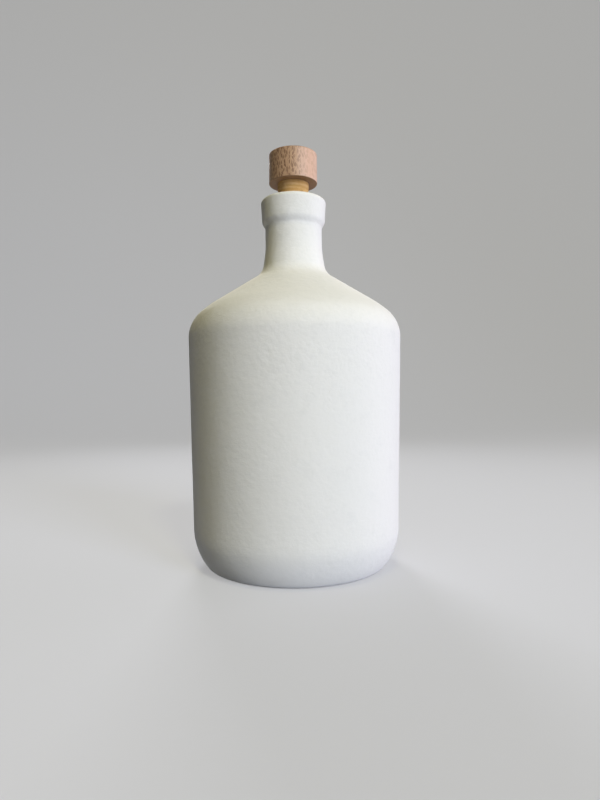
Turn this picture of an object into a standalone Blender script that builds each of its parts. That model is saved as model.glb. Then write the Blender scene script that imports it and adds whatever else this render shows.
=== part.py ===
"""A stoppered oil bottle: a slip-cast ceramic vessel, closed by a turned beech head on a tapered cork.

Units are metres and +Z is up. The origin is the centre of the foot, on the surface that the bottle stands on.
The stopper is a group of its own, which lifts straight up out of the neck.
"""

import math

import bpy
from mathutils import Vector

# Vessel heights, each measured from the end of the one before, from the foot up
HEEL_HEIGHT = 0.0123
WALL_HEIGHT = 0.1362
SHOULDER_RISE = 0.0100
CROWN_RISE = 0.0211
FLARE_LENGTH = 0.0145
NECK_LENGTH = 0.0141
BEAD_UNDERCUT = 0.0028
LIP_HEIGHT = 0.0142

# Vessel radii at the corners of its outline
FOOT_RADIUS = 0.0538
HEEL_RADIUS = 0.0628
BODY_RADIUS = 0.0653
CROWN_RADIUS = 0.0530
NECK_ROOT_RADIUS = 0.0197
NECK_RADIUS = 0.0176
BEAD_RADIUS = 0.0195
LIP_RADIUS = 0.02035
BORE_RADIUS = 0.0095

# Vessel walls and the shallow recess inside the ring that it stands on
WALL = 0.0056
FLOOR = 0.0070
FOOT_RING_WIDTH = 0.0060
FOOT_RECESS = 0.0014

# Roundings of the vessel's corners
FOOT_ROUND = 0.0062
HEEL_ROUND = 0.0370
SHOULDER_ROUND = 0.0203
CROWN_ROUND = 0.0578
ROOT_ROUND = 0.0115
FLARE_ROUND = 0.0418
UNDERCUT_ROUND = 0.0028
BEAD_ROUND = 0.0052
LIP_ROUND = 0.0024
MOUTH_ROUND = 0.0020
RECESS_ROUND = 0.0010

# Stopper: the head stands clear of the lip, because the tapered cork wedges before it is home
HEAD_RADIUS = 0.0150
HEAD_HEIGHT = 0.0180
HEAD_TOP_ROUND = 0.0009
HEAD_LOWER_ROUND = 0.0004
SPIGOT_RADIUS = 0.0040
SPIGOT_LENGTH = 0.0100
SPIGOT_ROUND = 0.0006
CORK_SHOWING = 0.0108
CORK_IN_NECK = 0.0172
CORK_TAPER = math.radians(2.65)
CORK_END_ROUND = 0.0010

# Clearances: the cork in the mouth, and the glue round the spigot and under the head
CORK_CLEARANCE = 0.0003
GLUE_LINE = 0.0003

# Fineness of the turned surfaces
VESSEL_STEPS = 60
STOPPER_STEPS = 48
ARC_STEP = math.radians(15)
AXIS_MERGE = 0.00001

# Levels that follow from the heights above
CORNER_Z = {}
level = 0.0
for corner_name, rise in (
    ("heel", HEEL_HEIGHT),
    ("shoulder", WALL_HEIGHT),
    ("crown", SHOULDER_RISE),
    ("root", CROWN_RISE),
    ("flare", FLARE_LENGTH),
    ("undercut", NECK_LENGTH),
    ("bead", BEAD_UNDERCUT),
    ("lip", LIP_HEIGHT),
):
    level += rise
    CORNER_Z[corner_name] = level
HEAD_SEAT_Z = CORNER_Z["lip"] + CORK_SHOWING


def clear_scene():
    """Removes what a new scene starts with."""
    for obj in list(bpy.data.objects):
        bpy.data.objects.remove(obj)


def make_material(name, colour, roughness, metallic=0.0):
    """A Principled material of one colour."""
    material = bpy.data.materials.new(name)
    material.use_nodes = True
    shader = material.node_tree.nodes["Principled BSDF"]
    shader.inputs["Base Color"].default_value = (*colour, 1.0)
    shader.inputs["Roughness"].default_value = roughness
    shader.inputs["Metallic"].default_value = metallic
    return material


def rounding_reaches(corners):
    """How far along its two edges each corner's rounding runs, kept within the edges that it shares."""
    points = [Vector(corner[:2]) for corner in corners]
    edges = [after - before for before, after in zip(points, points[1:])]
    reaches = [0.0] * len(corners)
    for i in range(1, len(corners) - 1):
        turn = edges[i - 1].angle(edges[i])
        reaches[i] = corners[i][2] * math.tan(turn / 2)
    for i, edge in enumerate(edges):
        needed = reaches[i] + reaches[i + 1]
        if needed > edge.length:
            share = edge.length / needed
            reaches[i] *= share
            reaches[i + 1] *= share
    return reaches


def rounded_outline(corners):
    """The points of an outline whose corners, each (radius, height, rounding), are rounded by tangent arcs."""
    reaches = rounding_reaches(corners)
    outline = []
    for i, (radius, height, _rounding) in enumerate(corners):
        corner = Vector((radius, height))
        if reaches[i] <= AXIS_MERGE:
            outline.append(corner)
            continue
        back = (Vector(corners[i - 1][:2]) - corner).normalized()
        ahead = (Vector(corners[i + 1][:2]) - corner).normalized()
        turn = math.pi - back.angle(ahead)
        arc_radius = reaches[i] / math.tan(turn / 2)
        centre = corner + (back + ahead).normalized() * (arc_radius / math.cos(turn / 2))
        start = corner + back * reaches[i] - centre
        end = corner + ahead * reaches[i] - centre
        steps = max(2, math.ceil(turn / ARC_STEP))
        for step in range(steps + 1):
            angle = turn * step / steps
            outline.append(centre + (start * math.sin(turn - angle) + end * math.sin(angle)) / math.sin(turn))
    return outline


def inner_wall(corners, thicknesses):
    """The corners of an outline moved inwards, each edge by its own thickness, with roundings to match."""
    moved = []
    for before, after, thickness in zip(corners, corners[1:], thicknesses):
        along = (Vector(after[:2]) - Vector(before[:2])).normalized()
        inwards = Vector((along.y, -along.x)) * thickness
        moved.append((Vector(before[:2]) + inwards, along))
    inside = []
    for i in range(1, len(moved)):
        (start, along), (other, turned) = moved[i - 1], moved[i]
        cross = along.cross(turned)
        corner = start + along * ((other - start).cross(turned) / cross)
        rounding = corners[i][2] + math.copysign(thicknesses[i - 1], cross)
        inside.append((corner.x, corner.y, max(rounding, MOUTH_ROUND)))
    return inside


def height_on_line(start, end, radius):
    """The height at which the line through two corners reaches a radius."""
    share = (radius - start[0]) / (end[0] - start[0])
    return start[1] + share * (end[1] - start[1])


def vessel_outline():
    """The vessel's section, from the middle of its floor up the inside, over the lip and down to the foot."""
    body = [
        (NECK_ROOT_RADIUS, CORNER_Z["root"], ROOT_ROUND),
        (CROWN_RADIUS, CORNER_Z["crown"], CROWN_ROUND),
        (BODY_RADIUS, CORNER_Z["shoulder"], SHOULDER_ROUND),
        (HEEL_RADIUS, CORNER_Z["heel"], HEEL_ROUND),
        (FOOT_RADIUS, 0.0, FOOT_ROUND),
        (0.0, 0.0, 0.0),
    ]
    inside = inner_wall(body, [WALL, WALL, WALL, WALL, FLOOR])
    crown_across = body[1][0] - body[0][0]
    crown_slope = math.hypot(crown_across, CROWN_RISE) / crown_across
    throat_z = height_on_line(body[0], body[1], BORE_RADIUS) - WALL * crown_slope
    hollow = [
        (BORE_RADIUS, CORNER_Z["lip"], MOUTH_ROUND),
        (BORE_RADIUS, throat_z, ROOT_ROUND + WALL),
        *inside,
        (0.0, FLOOR, 0.0),
    ]
    neck = [
        (LIP_RADIUS, CORNER_Z["lip"], LIP_ROUND),
        (BEAD_RADIUS, CORNER_Z["bead"], BEAD_ROUND),
        (NECK_RADIUS, CORNER_Z["undercut"], UNDERCUT_ROUND),
        (NECK_RADIUS, CORNER_Z["flare"], FLARE_ROUND),
    ]
    ring_outer = FOOT_RADIUS - rounding_reaches(body)[4]
    ring_inner = ring_outer - FOOT_RING_WIDTH
    recess = [
        (ring_inner, 0.0, RECESS_ROUND),
        (ring_inner - FOOT_RECESS, FOOT_RECESS, RECESS_ROUND),
        (0.0, FOOT_RECESS, 0.0),
    ]
    return rounded_outline([*reversed(hollow), *neck, *body[:-1], *recess])


def turned_piece(name, outline, steps, material, parent, collection):
    """An object turned about its own Z axis from an outline of (radius, height) points."""
    mesh = bpy.data.meshes.new(name)
    points = [(point.x, 0.0, point.y) for point in outline]
    edges = [(i, i + 1) for i in range(len(points) - 1)]
    mesh.from_pydata(points, edges, [])
    mesh.materials.append(material)
    obj = bpy.data.objects.new(name, mesh)
    collection.objects.link(obj)
    obj.parent = parent
    screw = obj.modifiers.new("Turn", "SCREW")
    screw.axis = "Z"
    screw.angle = 2 * math.pi
    screw.steps = steps
    screw.render_steps = steps
    screw.use_merge_vertices = True
    screw.merge_threshold = AXIS_MERGE
    screw.use_smooth_shade = True
    obj.modifiers.new("Flat faces stay flat", "WEIGHTED_NORMAL")
    return obj


def make_vessel(parent, collection):
    """The slip-cast vessel, white and unglazed outside, with its foot on the ground plane."""
    bisque = make_material("white_bisque", (0.86, 0.86, 0.84), 0.85)
    return turned_piece("vessel", vessel_outline(), VESSEL_STEPS, bisque, parent, collection)


def cork_radius(depth):
    """The cork's radius at a depth below the head, set so that it seats where the mouth's rounding ends."""
    seat_depth = CORK_SHOWING + MOUTH_ROUND
    seat_radius = BORE_RADIUS - CORK_CLEARANCE
    return seat_radius + (seat_depth - depth) * math.tan(CORK_TAPER)


def make_cork(parent, collection):
    """The tapered cork, bored from its top for the head's spigot. Its origin is under the head."""
    cork = make_material("cork", (0.62, 0.43, 0.22), 0.8)
    length = CORK_SHOWING + CORK_IN_NECK
    hole_radius = SPIGOT_RADIUS + GLUE_LINE
    hole_depth = SPIGOT_LENGTH + GLUE_LINE
    outline = rounded_outline([
        (0.0, -hole_depth, 0.0),
        (hole_radius, -hole_depth, SPIGOT_ROUND),
        (hole_radius, -GLUE_LINE, 0.0),
        (cork_radius(GLUE_LINE), -GLUE_LINE, 0.0),
        (cork_radius(length), -length, CORK_END_ROUND),
        (0.0, -length, 0.0),
    ])
    return turned_piece("stopper_cork", outline, STOPPER_STEPS, cork, parent, collection)


def make_head(parent, collection):
    """The turned beech head with the spigot that the cork is glued on. Its origin is in its lower face."""
    beech = make_material("beech", (0.66, 0.47, 0.31), 0.65)
    outline = rounded_outline([
        (0.0, HEAD_HEIGHT, 0.0),
        (HEAD_RADIUS, HEAD_HEIGHT, HEAD_TOP_ROUND),
        (HEAD_RADIUS, 0.0, HEAD_LOWER_ROUND),
        (SPIGOT_RADIUS, 0.0, 0.0),
        (SPIGOT_RADIUS, -SPIGOT_LENGTH, SPIGOT_ROUND),
        (0.0, -SPIGOT_LENGTH, 0.0),
    ])
    return turned_piece("stopper_head", outline, STOPPER_STEPS, beech, parent, collection)


def main():
    clear_scene()
    collection = bpy.data.collections.new("oil_bottle")
    bpy.context.scene.collection.children.link(collection)
    bottle = bpy.data.objects.new("oil_bottle", None)
    collection.objects.link(bottle)
    stopper = bpy.data.objects.new("stopper", None)
    stopper.parent = bottle
    stopper.location.z = HEAD_SEAT_Z
    collection.objects.link(stopper)
    make_vessel(bottle, collection)
    make_cork(stopper, collection)
    make_head(stopper, collection)


if __name__ == "__main__":
    main()
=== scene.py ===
"""The looks of a stoppered oil bottle: a chalky white ceramic vessel, and a beech head on a tapered cork.

The pieces are turned about the bottle's axis, at the sizes and places of the frame that is loaded first.
"""

import math
from typing import NamedTuple

import bmesh
import bpy
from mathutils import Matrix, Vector, noise


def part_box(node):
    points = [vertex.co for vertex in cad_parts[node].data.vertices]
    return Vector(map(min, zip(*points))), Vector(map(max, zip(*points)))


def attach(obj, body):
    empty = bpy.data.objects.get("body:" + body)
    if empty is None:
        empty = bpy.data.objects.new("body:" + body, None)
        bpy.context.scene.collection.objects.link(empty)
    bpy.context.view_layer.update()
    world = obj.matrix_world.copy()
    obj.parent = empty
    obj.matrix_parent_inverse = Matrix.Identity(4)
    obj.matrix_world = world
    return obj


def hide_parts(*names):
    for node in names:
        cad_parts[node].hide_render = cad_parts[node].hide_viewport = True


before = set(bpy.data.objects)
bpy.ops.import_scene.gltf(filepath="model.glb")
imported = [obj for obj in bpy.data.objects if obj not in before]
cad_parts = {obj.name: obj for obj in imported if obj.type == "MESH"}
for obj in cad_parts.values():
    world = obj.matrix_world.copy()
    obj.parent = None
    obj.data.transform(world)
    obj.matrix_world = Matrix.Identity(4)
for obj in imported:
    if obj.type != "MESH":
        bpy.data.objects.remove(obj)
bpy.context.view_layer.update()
VESSEL_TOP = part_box("vessel")[1].z
CORK_LOW, CORK_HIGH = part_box("stopper_cork")
HEAD_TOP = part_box("stopper_head")[1].z
HEAD_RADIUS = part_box("stopper_head")[1].x

bl_info = {
    "name": "Stoppered oil bottle",
    "version": (1, 0, 0),
    "blender": (4, 5, 0),
    "location": "3D View > Sidebar > Oil bottle",
    "description": "Turns a chalky white oil bottle with a beech and cork stopper, and sets it in a studio",
    "category": "Object",
}

# Fineness of the turned meshes
TURN_STEPS = 192
ARC_STEP = math.radians(7.5)
LEAST_ARC_STEPS = 3
ROW_HEIGHT = 0.003
WELD = 0.000001
SHARP_ANGLE = math.radians(50)

# The wall's unevenness: a wide and a close sway, which fade towards the axis from a radius on
WIDE_SWAY = 0.030
CLOSE_SWAY = 0.012
CLOSE_SHARE = 0.5
CALM_RADIUS = 0.02

# Noise and the cells' random colours run from 0 to 1 about this value
NOISE_MIDDLE = 0.5

# Chalk: the sizes of its marks in X, Y and Z, their depths, the dabs' turn about Z, and the heights between
# which the dabs grow stronger
TOOTH_SIZE = (0.0005, 0.0005, 0.0005)
DAB_SIZE = (0.0034, 0.0034, 0.0030)
WIPE_SIZE = (0.020, 0.020, 0.0014)
BROAD_SIZE = (0.045, 0.045, 0.035)
PATCH_SIZE = (0.013, 0.013, 0.011)
TOOTH_DEPTH = 0.00003
DAB_DEPTH = 0.00019
WIPE_DEPTH = 0.00002
PATCH_DEPTH = 0.00016
DAB_TURN = 0.4
DAB_RISE = (0.07, 0.15)

# Beech: its grain's sway in X, Y and Z, the sizes of its marks round the pith, out from it and up, the
# flecks' width and height, the depths, and how far the side's looks fade in from its lower and upper edge
SWAY_SIZE = (0.0024, 0.0060, 0.0034)
SWAY_REACH = 0.0020
STREAK_SIZE = (0.0004, 0.0040, 0.0090)
RING_SIZE = (0.05, 0.0017, 0.03)
TONE_SIZE = (0.006, 0.012, 0.020)
COARSE_FLECK = (0.0013, 0.0030)
FINE_FLECK = (0.0007, 0.0018)
STREAK_DEPTH = 0.00002
COARSE_DEPTH = 0.00003
FINE_DEPTH = 0.00002
LOWER_FADE = 0.0005
UPPER_FADE = 0.0008

# Flecks, in shares of their cell
FLECK_SCATTER = 0.85
FLECK_HALF_HEIGHT = 0.52
FLECK_LEAST_WIDTH = 0.22
FLECK_MORE_WIDTH = 0.16
FLECK_LEAN = 0.7

# Cork: its marks' sizes in X, Y and Z, and their depths
GRAIN_SIZE = (0.0016, 0.0016, 0.0012)
GROWTH_SIZE = (0.020, 0.020, 0.0013)
SPECKLE_SIZE = (0.0006, 0.0006, 0.0005)
PORE_SIZE = (0.0085, 0.0034, 0.0030)
SPECKLE_DEPTH = 0.00008
GRAIN_DEPTH = 0.00003
PORE_DEPTH = 0.00030

# Backdrop paper: its fibres, and the sheet from its front edge on the floor to its top behind the bottle
FIBRE_SIZE = (0.004, 0.004, 0.004)
FIBRE_SHADE = 0.985
FIBRE_DEPTH = 0.00001
PAPER_ROUGHNESS = 0.95
SWEEP_SIDE = 4.0
SWEEP_FRONT = -2.5
SWEEP_BACK = 2.2
SWEEP_TOP = 3.0
SWEEP_BEND = 1.0

# Camera: the matched image in pixels, the sensor in millimetres, and the near limit of what it sees
IMAGE_WIDTH = 600
IMAGE_HEIGHT = 800
SENSOR = 36.0
CLIP_START = 0.01


class Lamp(NamedTuple):
    """An area lamp, aimed at the middle of the bottle.

    Azimuth runs from the camera's side round to the right, and elevation runs up from level. Both are in
    degrees, as the spread is. Power is in watts.
    """

    name: str
    azimuth: float
    elevation: float
    distance: float
    size: tuple
    spread: float
    power: float
    tint: tuple


# A tall key at the front right, a low side lamp, two small warm lamps from above and one behind
LAMPS = (
    Lamp(
        name="key", azimuth=40.0, elevation=14.0, distance=2.6,
        size=(0.9, 1.15), spread=60.0, power=6.8, tint=(0.785, 0.835, 1.0),
    ),
    Lamp(
        name="side", azimuth=115.0, elevation=1.8, distance=2.6,
        size=(0.9, 0.24), spread=60.0, power=2.4, tint=(1.0, 0.88, 0.96),
    ),
    Lamp(
        name="front", azimuth=18.0, elevation=38.0, distance=2.4,
        size=(0.28, 0.28), spread=180.0, power=13.0, tint=(1.0, 0.95, 0.50),
    ),
    Lamp(
        name="top", azimuth=0.0, elevation=68.0, distance=2.4,
        size=(0.28, 0.28), spread=180.0, power=11.0, tint=(1.0, 0.86, 0.45),
    ),
    Lamp(
        name="back", azimuth=190.0, elevation=32.0, distance=1.9,
        size=(0.6, 0.4), spread=60.0, power=2.2, tint=(1.0, 0.98, 0.94),
    ),
)


def length(name, description, default):
    """A size that a user can change, in metres."""
    return bpy.props.FloatProperty(
        name=name, description=description, default=default, min=0.0, precision=5, unit="LENGTH"
    )


def colour(name, description, default):
    """A surface colour that a user can change, as linear red, green and blue."""
    return bpy.props.FloatVectorProperty(
        name=name, description=description, default=default, min=0.0, max=1.0, size=3, subtype="COLOR"
    )


class VesselSettings(bpy.types.PropertyGroup):
    """Sizes and colours of the white vessel."""

    foot_radius: length("Foot radius", "Corner between the heel and the ground", 0.0538)
    heel_radius: length("Heel radius", "Where the wall turns in at the heel", 0.0628)
    heel_height: length("Heel height", "Height at which the wall turns in", 0.0123)
    body_radius: length("Body radius", "Widest corner, under the shoulder", 0.0653)
    shoulder_height: length("Shoulder height", "Height of the widest corner", 0.1485)
    crown_radius: length("Crown radius", "Where the shoulder begins its straight slope", 0.0530)
    crown_height: length("Crown height", "Height at which the straight slope begins", 0.1585)
    root_radius: length("Neck root radius", "Where the slope meets the neck", 0.0197)
    root_height: length("Neck root height", "Height at which the slope meets the neck", 0.1796)
    neck_radius: length("Neck radius", "Narrowest part of the neck", 0.0176)
    flare_height: length("Flare height", "Height at which the neck begins to widen downwards", 0.1941)
    undercut_height: length("Undercut height", "Height of the corner under the bead", 0.2082)
    bead_radius: length("Bead radius", "Lower edge of the bead lip", 0.0195)
    bead_height: length("Bead height", "Height of the bead's lower edge", 0.2110)
    lip_radius: length("Lip radius", "Upper edge of the bead lip", 0.02035)
    lip_height: length("Lip height", "Top of the lip", VESSEL_TOP)
    bore_radius: length("Bore radius", "Inside of the neck", 0.0095)
    throat_height: length("Throat height", "Where the bore opens into the body", 0.1794)
    wall: length("Wall", "Thickness of the wall", 0.0056)
    floor: length("Floor", "Thickness of the floor", 0.0070)
    ring_inner: length("Foot ring", "Inner radius of the flat ring that the bottle stands on", 0.0447)
    recess: length("Foot recess", "Depth of the recess inside the foot ring", 0.0014)
    foot_round: length("Foot rounding", "Rounding between the heel and the ground", 0.0062)
    heel_round: length("Heel rounding", "Rounding of the heel", 0.0370)
    shoulder_round: length("Shoulder rounding", "Rounding of the widest corner", 0.0203)
    crown_round: length("Crown rounding", "Rounding where the straight slope begins", 0.0578)
    root_round: length("Root rounding", "Hollow where the slope meets the neck", 0.0115)
    flare_round: length("Flare rounding", "Hollow where the neck widens downwards", 0.0418)
    undercut_round: length("Undercut rounding", "Hollow under the bead", 0.0028)
    bead_round: length("Bead rounding", "Rounding of the bead's lower edge", 0.0052)
    lip_round: length("Lip rounding", "Rounding of the lip's outer edge", 0.0024)
    mouth_round: length("Mouth rounding", "Rounding of the lip's inner edge and of the floor's edge", 0.0020)
    recess_round: length("Recess rounding", "Roundings of the recess in the foot", 0.0010)
    unevenness: length("Unevenness", "How far the hand-finished wall strays from round", 0.00012)
    chalk: colour("Chalk white", "Main colour of the surface", (0.83, 0.83, 0.815))
    worn: colour("Rubbed grey", "Colour of the faint rubbed patches", (0.76, 0.765, 0.755))


class CorkSettings(bpy.types.PropertyGroup):
    """Sizes and colours of the cork."""

    upper_radius: length("Upper radius", "Cork's radius under the head", CORK_HIGH.x)
    lower_radius: length("Lower radius", "Cork's radius at its lower end", 0.0085)
    upper_height: length("Upper height", "Top of the cork", CORK_HIGH.z)
    lower_height: length("Lower height", "Lower end of the cork", CORK_LOW.z)
    upper_round: length("Upper rounding", "Rounding of the upper edge", 0.0002)
    end_round: length("End rounding", "Rounding of the lower edge", 0.0010)
    bark: colour("Cork tan", "Main colour of the cork", (0.50, 0.28, 0.085))
    pale: colour("Pale cork", "Colour of the lighter grains", (0.62, 0.40, 0.17))
    pore: colour("Pore brown", "Colour of the pores", (0.16, 0.075, 0.03))


class HeadSettings(bpy.types.PropertyGroup):
    """Sizes and colours of the turned beech head."""

    radius: length("Radius", "Radius of the head", HEAD_RADIUS)
    lower_height: length("Lower height", "Flat underside of the head", CORK_HIGH.z)
    upper_height: length("Upper height", "Flat top of the head", HEAD_TOP)
    top_round: length("Top rounding", "Rounding of the upper edge", 0.0009)
    lower_round: length("Lower rounding", "Rounding of the lower edge", 0.0004)
    pith: bpy.props.FloatVectorProperty(
        name="Pith", description="Where the middle of the trunk lay, seen from above the head's axis",
        default=(0.027, 0.047), size=2, unit="LENGTH"
    )
    light: colour("Beech light", "Wood between the flecks", (0.50, 0.32, 0.195))
    dark: colour("Beech dark", "Darker bands of the year rings", (0.41, 0.245, 0.14))
    # Partly the paler wood along the rays, partly painted sheen: the light on the right side lifts and pinks
    # this face
    ray_face_painted_sheen: colour("Beech sheen", "Paler, pinker wood where the cut runs along the rays", (0.70, 0.46, 0.345))
    # Also darkens the end grain of the top and underside: partly its own darker colour, partly painted shade
    # under the head
    fleck_and_painted_end_shade: colour("Fleck brown", "Colour of the ray flecks", (0.15, 0.072, 0.036))


class StageSettings(bpy.types.PropertyGroup):
    """The studio's colours and its camera."""

    paper: colour("Backdrop", "Colour of the floor and the backdrop", (0.28, 0.29, 0.34))
    lift: colour("Backdrop lift", "Light that the camera sees the backdrop give off", (0.365, 0.365, 0.365))
    far: colour("Far wall", "Pale colour that the camera sees past the backdrop", (0.49, 0.49, 0.495))
    focal_pixels: bpy.props.FloatProperty(
        name="Focal length in pixels", description="Focal length of the matched image", default=577.0
    )
    distance: length("Camera distance", "From the camera to the bottle's axis", 0.3609)
    height: length("Camera height", "Of the camera above the floor", 0.1010)
    aside: bpy.props.FloatProperty(
        name="Camera aside", description="How far the camera stands to the right",
        default=0.0030, unit="LENGTH"
    )
    roll: bpy.props.FloatProperty(
        name="Camera roll", description="Tilt of the image", default=math.radians(0.55), subtype="ANGLE"
    )


class Value:
    """A socket that carries numbers, which Python expressions combine by adding Math nodes."""

    def __init__(self, nodes, socket):
        self.nodes = nodes
        self.socket = socket

    def math(self, operation, *terms):
        """Adds a Math node on the terms."""
        return self.nodes.node("Math", {"operation": operation}, dict(enumerate(terms)))["Value"]

    def __add__(self, other):
        return self.math("ADD", self, other)

    __radd__ = __add__

    def __sub__(self, other):
        return self.math("SUBTRACT", self, other)

    def __rsub__(self, other):
        return self.math("SUBTRACT", other, self)

    def __mul__(self, other):
        return self.math("MULTIPLY", self, other)

    __rmul__ = __mul__

    def __truediv__(self, other):
        return self.math("DIVIDE", self, other)

    def __rtruediv__(self, other):
        return self.math("DIVIDE", other, self)

    def __pow__(self, other):
        return self.math("POWER", self, other)

    def __rpow__(self, other):
        return self.math("POWER", other, self)

    def step(self, start, end):
        """0 before start and 1 past end, which may be the lower of the two, with a smooth step between."""
        sockets = {"Value": self, "From Min": start, "From Max": end}
        return self.nodes.node("MapRange", {"interpolation_type": "SMOOTHSTEP"}, sockets)["Result"]


class Nodes:
    """A node tree whose nodes are added one call at a time."""

    def __init__(self, tree):
        self.tree = tree

    def node(self, kind, settings=None, sockets=None):
        """Adds a node with its settings, then its sockets' values or links. Returns its outputs by name."""
        node = self.tree.nodes.new("ShaderNode" + kind)
        for name, setting in (settings or {}).items():
            setattr(node, name, setting)
        for name, value in (sockets or {}).items():
            self.feed(node.inputs[name], value)
        return {output.name: Value(self, output) for output in node.outputs if output.enabled}

    def feed(self, socket, value):
        """Links a value to a socket, or sets the socket to a number, vector or colour."""
        if isinstance(value, Value):
            self.tree.links.new(value.socket, socket)
        elif socket.type == "RGBA":
            socket.default_value = (*value, 1.0)
        else:
            socket.default_value = value

    def seen(self):
        """1 on rays by which the camera sees a surface, straight or in a reflection, and 0 on others."""
        rays = self.node("LightPath")
        return rays["Is Camera Ray"] + rays["Is Glossy Ray"] + rays["Is Transmission Ray"]


class Finish(Nodes):
    """A Principled material with patterns on the object's own coordinates."""

    def __init__(self, name):
        self.material = bpy.data.materials.new(name)
        self.material.use_nodes = True
        super().__init__(self.material.node_tree)
        self.shader = self.tree.nodes["Principled BSDF"]
        self.place = self.node("TexCoord")["Object"]

    def stretched(self, size, turn=0.0, place=None):
        """Coordinates on which a pattern of unit scale has features of the given size, in metres."""
        sockets = {
            "Vector": place or self.place,
            "Rotation": (0.0, 0.0, turn),
            "Scale": tuple(1.0 / side for side in size),
        }
        return self.node("Mapping", {"vector_type": "POINT"}, sockets)["Vector"]

    def noise(self, size, detail=2.0, rough=0.5, turn=0.0, place=None):
        """Smooth noise from 0 to 1 with features of the given size."""
        sockets = {
            "Vector": self.stretched(size, turn, place),
            "Scale": 1.0,
            "Detail": detail,
            "Roughness": rough,
        }
        return self.node("TexNoise", None, sockets)["Fac"]

    def cells(self, size):
        """A Voronoi pattern, with the distance to each cell's point and the cell's own random colour."""
        sockets = {"Vector": self.stretched(size), "Scale": 1.0, "Randomness": 1.0}
        return self.node("TexVoronoi", None, sockets)

    def mix(self, share, first, second):
        """The first colour where share is 0, and the second where it is 1."""
        sockets = {"Factor": share, "A": first, "B": second}
        return self.node("Mix", {"data_type": "RGBA"}, sockets)["Result"]

    def shade(self, base, roughness, relief):
        """Feeds the shader its colour, roughness and a relief in metres."""
        self.feed(self.shader.inputs["Base Color"], base)
        self.feed(self.shader.inputs["Roughness"], roughness)
        bump = self.node("Bump", None, {"Height": relief, "Strength": 1.0, "Distance": 1.0})
        self.feed(self.shader.inputs["Normal"], bump["Normal"])
        return self.material


def chalk_finish(settings):
    """Chalky white: fine tooth, dabs of the brush, faint wipe marks round the wall and rubbed patches."""
    finish = Finish("chalk_white")
    height = finish.node("SeparateXYZ", None, {"Vector": finish.place})["Z"]
    tooth = finish.noise(TOOTH_SIZE, detail=3.0, rough=0.6)
    dabs = finish.noise(DAB_SIZE, detail=3.0, rough=0.55, turn=DAB_TURN) - NOISE_MIDDLE
    wipes = finish.noise(WIPE_SIZE, detail=3.0, rough=0.6)
    broad = finish.noise(BROAD_SIZE)
    patches = finish.noise(PATCH_SIZE, detail=4.0, rough=0.6)
    dabs = dabs * (0.55 + broad.step(0.40, 0.60) * 0.40 + height.step(*DAB_RISE) * 0.55)
    rubbed = patches.step(0.55, 0.75) * 0.40 + wipes.step(0.55, 0.80) * 0.08 + dabs.step(0.0, 0.25) * 0.30
    base = finish.mix(rubbed, settings.chalk, settings.worn)
    roughness = 0.84 + broad * 0.08
    relief = tooth * TOOTH_DEPTH + dabs * DAB_DEPTH + wipes * WIPE_DEPTH + patches * PATCH_DEPTH
    return finish.shade(base, roughness, relief)


def beech_finish(settings):
    """Beech with its grain upright: flecks where the rays end, pale sides along them, partly painted sheen,
    and rings on top.
    """
    finish = Finish("beech_wood")
    pith_x, pith_y = settings.pith
    pith_reach = math.hypot(pith_x, pith_y)
    parts = finish.node("SeparateXYZ", None, {"Vector": finish.place})
    height = parts["Z"]
    sway = finish.noise(SWAY_SIZE) - NOISE_MIDDLE
    across = (parts["X"] * pith_y - parts["Y"] * pith_x) / pith_reach
    inwards = (parts["X"] * pith_x + parts["Y"] * pith_y) / pith_reach
    swayed = across + sway * SWAY_REACH
    depth = pith_reach - inwards
    reach = (swayed * swayed + depth * depth) ** 0.5
    around = swayed.math("ARCTAN2", swayed, depth) * pith_reach
    grain = finish.node("CombineXYZ", None, {"X": around, "Y": reach, "Z": height})["Vector"]
    side = height.step(settings.lower_height, settings.lower_height + LOWER_FADE)
    side = side * height.step(settings.upper_height, settings.upper_height - UPPER_FADE)
    coarse = ray_flecks(finish, around, height, COARSE_FLECK) * side
    fine = ray_flecks(finish, around, height, FINE_FLECK) * (side * 0.8 + 0.2)
    streaks = finish.noise(STREAK_SIZE, rough=0.55, place=grain)
    rings = finish.noise(RING_SIZE, place=grain)
    tone = finish.noise(TONE_SIZE, detail=3.0, place=grain)
    # Share of the faces cut along the rays, at the right front and the left back, which get a partly painted
    # pink sheen
    along = across / settings.radius
    ray_faces_with_painted_sheen = (along * along).step(0.05, 0.95) * side
    shade = rings.step(0.40, 0.66) * 0.45 + tone.step(0.4, 0.7) * 0.25 + streaks.step(0.45, 0.75) * 0.30
    base = finish.mix(shade, settings.light, settings.dark)
    base = finish.mix(coarse * 0.9, base, settings.fleck_and_painted_end_shade)
    base = finish.mix(fine * 0.35, base, settings.fleck_and_painted_end_shade)
    # The paler, pinker ray faces: partly the wood's own colour, partly painted sheen from the side light
    ray_face_painted_sheen = finish.mix(shade * 0.35 + coarse * 0.25, settings.ray_face_painted_sheen, settings.dark)
    base = finish.mix(ray_faces_with_painted_sheen, base, ray_face_painted_sheen)
    # Darker end grain on the top and underside: partly the wood's own colour, partly painted shade under the
    # head
    base = finish.mix(0.5 - side * 0.5, base, settings.fleck_and_painted_end_shade)
    roughness = 0.60 - ray_faces_with_painted_sheen * 0.12
    relief = streaks * STREAK_DEPTH - coarse * COARSE_DEPTH - fine * FINE_DEPTH
    return finish.shade(base, roughness, relief)


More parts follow.
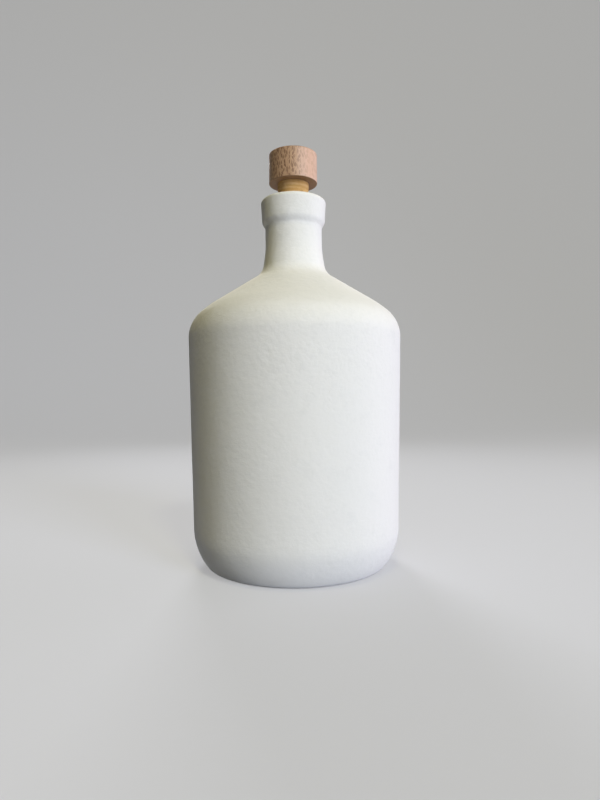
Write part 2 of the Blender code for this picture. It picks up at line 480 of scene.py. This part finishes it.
def ray_flecks(finish, around, height, size):
    """Spindles that stand along the grain, one in each cell of about the given width and height."""
    width, tall = size
    flat = finish.node("CombineXYZ", None, {"X": around / width, "Y": height / tall})["Vector"]
    sockets = {"Vector": flat, "Scale": 1.0, "Randomness": FLECK_SCATTER}
    cell = finish.node("TexVoronoi", {"voronoi_dimensions": "2D"}, sockets)
    luck = finish.node("SeparateColor", None, {"Color": cell["Color"]})
    away = finish.node("VectorMath", {"operation": "SUBTRACT"}, {0: flat, 1: cell["Position"]})
    away = finish.node("SeparateXYZ", None, {"Vector": away["Vector"]})
    rise = away["Y"] / FLECK_HALF_HEIGHT
    half_width = (FLECK_LEAST_WIDTH + luck["Green"] * FLECK_MORE_WIDTH) * (1.0 - rise * rise)
    aside = away["X"] + away["Y"] * (luck["Blue"] - NOISE_MIDDLE) * FLECK_LEAN
    spindle = half_width - aside.math("ABSOLUTE", aside)
    return spindle.step(-0.05, 0.10) * (0.55 + luck["Red"] * 0.45)


def cork_finish(settings):
    """Natural cork: warm tan with paler grains, and brown pores that run across it."""
    finish = Finish("natural_cork")
    grains = finish.cells(GRAIN_SIZE)
    shade = finish.node("SeparateColor", None, {"Color": grains["Color"]})["Green"]
    growth = finish.noise(GROWTH_SIZE, detail=3.0, rough=0.55)
    speckle = finish.noise(SPECKLE_SIZE, detail=3.0, rough=0.6)
    pores = finish.cells(PORE_SIZE)
    open_pore = finish.node("SeparateColor", None, {"Color": pores["Color"]})["Red"].step(0.62, 0.70)
    ragged = pores["Distance"] + (speckle - NOISE_MIDDLE) * 0.35
    dark = ragged.step(0.30, 0.14) * open_pore
    base = finish.mix(shade * 0.30 + growth.step(0.40, 0.62) * 0.7, settings.bark, settings.pale)
    base = finish.mix(speckle.step(0.60, 0.74) * 0.30, base, settings.pore)
    base = finish.mix(dark * 0.45, base, settings.pore)
    relief = speckle * SPECKLE_DEPTH + shade * GRAIN_DEPTH - dark * PORE_DEPTH
    return finish.shade(base, 0.80 + speckle * 0.1, relief)


def paper_finish(settings):
    """Matte backdrop paper, which a lift on the camera's own rays keeps pale."""
    finish = Finish("backdrop_paper")
    fibres = finish.noise(FIBRE_SIZE, detail=3.0, rough=0.6)
    fibre_colour = tuple(FIBRE_SHADE * part for part in settings.paper)
    base = finish.mix(fibres, settings.paper, fibre_colour)
    finish.shade(base, PAPER_ROUGHNESS, fibres * FIBRE_DEPTH)
    paper = Value(finish, finish.shader.outputs["BSDF"])
    lift = finish.node("Emission", None, {"Color": settings.lift, "Strength": 1.0})["Emission"]
    lifted = finish.node("AddShader", None, {0: paper, 1: lift})["Shader"]
    surface = finish.node("MixShader", None, {0: finish.seen(), 1: paper, 2: lifted})["Shader"]
    finish.feed(finish.tree.nodes["Material Output"].inputs["Surface"], surface)
    return finish.material


def round_corner(shape, vert, rounding):
    """Rounds a corner of an outline. The bevel's curve passes where an arc of the radius has its middle."""
    before, after = (edge.other_vert(vert).co - vert.co for edge in vert.link_edges)
    turn = math.pi - before.angle(after)
    bmesh.ops.bevel(
        shape,
        geom=[vert],
        offset=rounding * math.tan(turn / 4) / ((2 - math.sqrt(2)) * math.cos(turn / 2)),
        offset_type="OFFSET",
        affect="VERTICES",
        segments=max(LEAST_ARC_STEPS, math.ceil(turn / ARC_STEP)),
        profile=0.5,
        material=-1,
        clamp_overlap=True,
    )


def inner_corners(corners, wall):
    """The corners of an outline's edges once they are moved inwards by the wall, with roundings to match."""
    points = [Vector((radius, height)) for radius, height, _rounding in corners]
    roundings = [rounding for _radius, _height, rounding in corners]
    ways = [(after - before).normalized() for before, after in zip(points, points[1:])]
    inside = []
    for point, rounding, before, after in zip(points[1:], roundings[1:], ways, ways[1:]):
        turn = before.cross(after)
        shift = (before - after) * (wall / turn)
        inside.append((*(point + shift), rounding + math.copysign(wall, turn)))
    return inside


def turned(corners):
    """A bmesh turned about the Z axis from an outline of corners, each (radius, height, rounding)."""
    shape = bmesh.new()
    verts = [shape.verts.new((radius, 0.0, height)) for radius, height, _rounding in corners]
    for before, after in zip(verts, verts[1:]):
        shape.edges.new((before, after))
    for vert, (_radius, _height, rounding) in zip(verts, corners):
        if rounding:
            round_corner(shape, vert, rounding)
    for edge in list(shape.edges):
        rows = math.ceil(edge.calc_length() / ROW_HEIGHT)
        if rows > 1:
            bmesh.ops.subdivide_edges(shape, edges=[edge], cuts=rows - 1)
    bmesh.ops.spin(
        shape,
        geom=[*shape.verts, *shape.edges],
        cent=(0.0, 0.0, 0.0),
        axis=(0.0, 0.0, 1.0),
        dvec=(0.0, 0.0, 0.0),
        angle=2 * math.pi,
        steps=TURN_STEPS,
        use_merge=True,
        use_duplicate=False,
    )
    bmesh.ops.remove_doubles(shape, verts=shape.verts, dist=WELD)
    bmesh.ops.recalc_face_normals(shape, faces=shape.faces)
    return shape


def place_piece(name, shape, material, body, node):
    """Makes a finished object of a bmesh, which rides on a body and stands for a node of the frame."""
    mesh = bpy.data.meshes.new(name)
    shape.to_mesh(mesh)
    shape.free()
    mesh.shade_smooth()
    mesh.set_sharp_from_angle(angle=SHARP_ANGLE)
    mesh.materials.append(material)
    obj = bpy.data.objects.new(name, mesh)
    bpy.context.scene.collection.objects.link(obj)
    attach(obj, body)
    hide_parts(node)


def hand_finish(shape, unevenness):
    """Moves the wall in and out by a smooth, slight unevenness, and leaves heights as they are."""
    for vert in shape.verts:
        sway = noise.noise(vert.co / WIDE_SWAY) + CLOSE_SHARE * noise.noise(vert.co / CLOSE_SWAY)
        outwards = Vector((vert.co.x, vert.co.y, 0.0))
        vert.co += outwards.normalized() * (unevenness * sway * min(1.0, outwards.length / CALM_RADIUS))


class BOTTLE_OT_vessel(bpy.types.Operator):
    """Turns the hollow white vessel, from the middle of its floor up the inside and down the outside"""

    bl_idname = "oil_bottle.vessel"
    bl_label = "White vessel"

    def execute(self, context):
        vessel = context.scene.oil_bottle_vessel
        body = [
            (vessel.root_radius, vessel.root_height, vessel.root_round),
            (vessel.crown_radius, vessel.crown_height, vessel.crown_round),
            (vessel.body_radius, vessel.shoulder_height, vessel.shoulder_round),
            (vessel.heel_radius, vessel.heel_height, vessel.heel_round),
            (vessel.foot_radius, 0.0, vessel.foot_round),
        ]
        heel_lean = (vessel.heel_radius - vessel.foot_radius) / vessel.heel_height
        level_wall = vessel.wall * math.hypot(1.0, heel_lean)
        floor_radius = vessel.foot_radius + vessel.floor * heel_lean - level_wall
        shape = turned([
            (0.0, vessel.floor, 0.0),
            (floor_radius, vessel.floor, vessel.mouth_round),
            *reversed(inner_corners(body, vessel.wall)),
            (vessel.bore_radius, vessel.throat_height, vessel.root_round + vessel.wall),
            (vessel.bore_radius, vessel.lip_height, vessel.mouth_round),
            (vessel.lip_radius, vessel.lip_height, vessel.lip_round),
            (vessel.bead_radius, vessel.bead_height, vessel.bead_round),
            (vessel.neck_radius, vessel.undercut_height, vessel.undercut_round),
            (vessel.neck_radius, vessel.flare_height, vessel.flare_round),
            *body,
            (vessel.ring_inner, 0.0, vessel.recess_round),
            (vessel.ring_inner - vessel.recess, vessel.recess, vessel.recess_round),
            (0.0, vessel.recess, 0.0),
        ])
        hand_finish(shape, vessel.unevenness)
        place_piece("white_vessel", shape, chalk_finish(vessel), "bottle", "vessel")
        return {"FINISHED"}


class BOTTLE_OT_cork(bpy.types.Operator):
    """Turns the tapered cork that wedges in the mouth"""

    bl_idname = "oil_bottle.cork"
    bl_label = "Cork"

    def execute(self, context):
        cork = context.scene.oil_bottle_cork
        shape = turned([
            (0.0, cork.upper_height, 0.0),
            (cork.upper_radius, cork.upper_height, cork.upper_round),
            (cork.lower_radius, cork.lower_height, cork.end_round),
            (0.0, cork.lower_height, 0.0),
        ])
        place_piece("tapered_cork", shape, cork_finish(cork), "stopper", "stopper_cork")
        return {"FINISHED"}


class BOTTLE_OT_head(bpy.types.Operator):
    """Turns the beech head that the stopper is pulled by"""

    bl_idname = "oil_bottle.head"
    bl_label = "Beech head"

    def execute(self, context):
        head = context.scene.oil_bottle_head
        shape = turned([
            (0.0, head.upper_height, 0.0),
            (head.radius, head.upper_height, head.top_round),
            (head.radius, head.lower_height, head.lower_round),
            (0.0, head.lower_height, 0.0),
        ])
        place_piece("beech_head", shape, beech_finish(head), "stopper", "stopper_head")
        return {"FINISHED"}


class BOTTLE_OT_studio(bpy.types.Operator):
    """Sets the studio: a paper sweep, soft lamps and the camera"""

    bl_idname = "oil_bottle.studio"
    bl_label = "Studio"

    def execute(self, context):
        stage = context.scene.oil_bottle_stage
        self.sweep(context, stage)
        self.room(context, stage)
        for lamp in LAMPS:
            self.light(context, lamp)
        self.camera(context, stage)
        context.scene.view_settings.view_transform = "Standard"
        return {"FINISHED"}

    def sweep(self, context, stage):
        """A sheet of paper that lies on the floor and rises in one curve behind the bottle."""
        shape = bmesh.new()
        ends = [(SWEEP_FRONT, 0.0), (SWEEP_BACK, 0.0), (SWEEP_BACK, SWEEP_TOP)]
        verts = [shape.verts.new((-SWEEP_SIDE, y, z)) for y, z in ends]
        for before, after in zip(verts, verts[1:]):
            shape.edges.new((before, after))
        round_corner(shape, verts[1], SWEEP_BEND)
        across = bmesh.ops.extrude_edge_only(shape, edges=shape.edges[:])["geom"]
        moved = [item for item in across if isinstance(item, bmesh.types.BMVert)]
        bmesh.ops.translate(shape, verts=moved, vec=(2 * SWEEP_SIDE, 0.0, 0.0))
        bmesh.ops.recalc_face_normals(shape, faces=shape.faces)
        mesh = bpy.data.meshes.new("paper_sweep")
        shape.to_mesh(mesh)
        shape.free()
        mesh.shade_smooth()
        mesh.materials.append(paper_finish(stage))
        sweep = bpy.data.objects.new("paper_sweep", mesh)
        context.scene.collection.objects.link(sweep)

    def room(self, context, stage):
        """A dark room, which the camera sees as pale past the edges of the paper."""
        world = bpy.data.worlds.new("studio_room")
        world.use_nodes = True
        nodes = Nodes(world.node_tree)
        background = nodes.tree.nodes["Background"]
        nodes.feed(background.inputs["Color"], stage.far)
        nodes.feed(background.inputs["Strength"], nodes.seen())
        context.scene.world = world

    def light(self, context, lamp):
        """Hangs a lamp at its distance from the middle of the bottle, out of the camera's sight."""
        middle = Vector((0.0, 0.0, HEAD_TOP / 2))
        turn, rise = math.radians(lamp.azimuth), math.radians(lamp.elevation)
        away = Vector((math.sin(turn) * math.cos(rise), -math.cos(turn) * math.cos(rise), math.sin(rise)))
        data = bpy.data.lights.new(lamp.name, "AREA")
        data.shape = "RECTANGLE"
        data.size, data.size_y = lamp.size
        data.spread = math.radians(lamp.spread)
        data.energy = lamp.power
        data.color = lamp.tint
        obj = bpy.data.objects.new(lamp.name, data)
        obj.location = middle + away * lamp.distance
        obj.rotation_euler = away.to_track_quat("Z", "Y").to_euler()
        obj.visible_camera = False
        context.scene.collection.objects.link(obj)

    def camera(self, context, stage):
        """A level camera, whose focal length is stated in pixels of the matched image."""
        data = bpy.data.cameras.new("camera")
        data.sensor_fit = "AUTO"
        data.sensor_width = SENSOR
        data.lens = stage.focal_pixels * SENSOR / max(IMAGE_WIDTH, IMAGE_HEIGHT)
        data.clip_start = CLIP_START
        camera = bpy.data.objects.new("camera", data)
        camera.location = (stage.aside, -stage.distance, stage.height)
        camera.rotation_euler = (math.pi / 2, stage.roll, 0.0)
        context.scene.collection.objects.link(camera)
        context.scene.camera = camera


class BOTTLE_PT_panel(bpy.types.Panel):
    """Lists the pieces of the bottle and the settings behind them"""

    bl_idname = "BOTTLE_PT_panel"
    bl_label = "Oil bottle"
    bl_space_type = "VIEW_3D"
    bl_region_type = "UI"
    bl_category = "Oil bottle"

    def draw(self, context):
        for operator, group in PIECES:
            box = self.layout.box()
            box.operator(operator.bl_idname)
            settings = getattr(context.scene, group)
            for name in settings.bl_rna.properties.keys():
                if name not in ("rna_type", "name"):
                    box.prop(settings, name)


GROUPS = {
    "oil_bottle_vessel": VesselSettings,
    "oil_bottle_cork": CorkSettings,
    "oil_bottle_head": HeadSettings,
    "oil_bottle_stage": StageSettings,
}
PIECES = (
    (BOTTLE_OT_vessel, "oil_bottle_vessel"),
    (BOTTLE_OT_cork, "oil_bottle_cork"),
    (BOTTLE_OT_head, "oil_bottle_head"),
    (BOTTLE_OT_studio, "oil_bottle_stage"),
)
CLASSES = (*GROUPS.values(), *(operator for operator, _group in PIECES), BOTTLE_PT_panel)


def register():
    for cls in CLASSES:
        bpy.utils.register_class(cls)
    for name, group in GROUPS.items():
        setattr(bpy.types.Scene, name, bpy.props.PointerProperty(type=group))


def unregister():
    for name in GROUPS:
        delattr(bpy.types.Scene, name)
    for cls in reversed(CLASSES):
        bpy.utils.unregister_class(cls)


def main():
    register()
    bpy.ops.oil_bottle.vessel()
    bpy.ops.oil_bottle.cork()
    bpy.ops.oil_bottle.head()
    bpy.ops.oil_bottle.studio()


if __name__ == "__main__":
    main()
